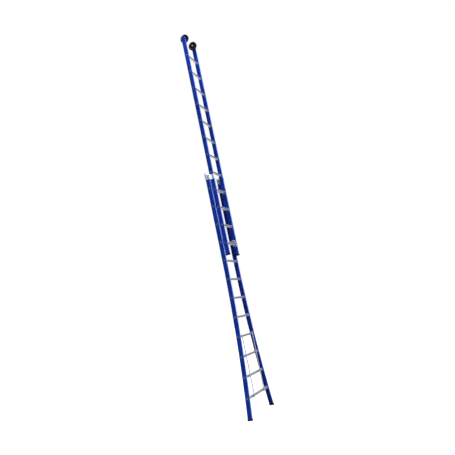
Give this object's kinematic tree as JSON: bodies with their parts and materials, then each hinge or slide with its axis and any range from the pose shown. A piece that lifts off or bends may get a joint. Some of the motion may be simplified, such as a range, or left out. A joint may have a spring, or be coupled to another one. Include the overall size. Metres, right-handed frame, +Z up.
{
  "type": "extension ladder",
  "caption": "Two-section push-up extension ladder with flared base, ribbed rungs, rung hooks, guide brackets and wall wheels on its head.",
  "frame": {"origin": "centre of the ladder's box in X and Y, on the soles of the feet", "axes": "+Z up along the straight stiles, +X across the ladder to the right of a climber who faces it, +Y from the climber to the wall"},
  "size_m": [0.9602, 0.1765, 5.956],
  "materials": {
    "coated_stile": "blue gloss coat",
    "rung_metal": "satin",
    "rung_plug": "matte",
    "black_rubber": "matte",
    "wheel_rubber": "matte",
    "wheel_hub": "matte",
    "insert_plastic": "matte",
    "bar_metal": "satin",
    "dark_fastener": "blackened",
    "cast_alloy": "cast, matte",
    "bright_steel": "zinc plated"
  },
  "bodies": {
    "lower_section": {"lower_stile_left": "coated_stile", "lower_stile_right": "coated_stile", "lower_rung_01": "rung_metal", "lower_rung_02": "rung_metal", "lower_rung_03": "rung_metal", "lower_rung_04": "rung_metal", "lower_rung_05": "rung_metal", "lower_rung_06": "rung_metal", "lower_rung_07": "rung_metal", "lower_rung_08": "rung_metal", "lower_rung_09": "rung_metal", "lower_rung_10": "rung_metal", "lower_rung_11": "rung_metal", "lower_rung_12": "rung_metal", "lower_rung_plugs": "rung_plug", "foot_left": "black_rubber", "foot_right": "black_rubber", "lower_top_plugs": "insert_plastic", "guide_bracket_left": "bright_steel", "guide_bracket_right": "bright_steel", "bracket_rivets": "bright_steel", "guide_bar_left": "bar_metal", "guide_bar_right": "bar_metal", "guide_bar_saddles": "bar_metal", "guide_bar_rivets": "bar_metal"},
    "upper_section": {"upper_stile_left": "coated_stile", "upper_stile_right": "coated_stile", "upper_rung_01": "rung_metal", "upper_rung_02": "rung_metal", "upper_rung_03": "rung_metal", "upper_rung_04": "rung_metal", "upper_rung_05": "rung_metal", "upper_rung_06": "rung_metal", "upper_rung_07": "rung_metal", "upper_rung_08": "rung_metal", "upper_rung_09": "rung_metal", "upper_rung_10": "rung_metal", "upper_rung_11": "rung_metal", "upper_rung_12": "rung_metal", "upper_rung_plugs": "rung_plug", "upper_end_caps": "black_rubber", "upper_head_inserts": "insert_plastic", "stop_bolts": "dark_fastener", "hook_plate_left": "cast_alloy", "hook_plate_right": "cast_alloy", "hook_plate_rivets": "bright_steel", "hook_pins": "bright_steel", "wheel_axles": "dark_fastener", "wheel_nuts": "bright_steel"},
    "hook_left": {"hook_left": "cast_alloy"},
    "hook_right": {"hook_right": "cast_alloy"},
    "wall_wheel_left": {"wheel_hub_left": "wheel_hub", "wheel_tyre_left": "wheel_rubber"},
    "wall_wheel_right": {"wheel_hub_right": "wheel_hub", "wheel_tyre_right": "wheel_rubber"}
  },
  "joints": [
    {"name": "upper_slide", "type": "slide", "parent": "lower_section", "child": "upper_section", "axis": [0, 0, 1], "range_m": [-2.24, 0.28]},
    {"name": "hook_left_swing", "type": "hinge", "parent": "upper_section", "child": "hook_left", "pos_m": [-0.16, -0.00125, 2.55], "axis": [1, 0, 0], "range_deg": [0, 95]},
    {"name": "hook_right_swing", "type": "hinge", "parent": "upper_section", "child": "hook_right", "pos_m": [0.16, -0.00125, 2.55], "axis": [1, 0, 0], "range_deg": [0, 95]},
    {"name": "wheel_left_spin", "type": "hinge", "parent": "upper_section", "child": "wall_wheel_left", "pos_m": [-0.143, -0.01725, 5.885], "axis": [1, 0, 0], "continuous": true},
    {"name": "wheel_right_spin", "type": "hinge", "parent": "upper_section", "child": "wall_wheel_right", "pos_m": [0.143, -0.01725, 5.885], "axis": [1, 0, 0], "continuous": true}
  ]
}
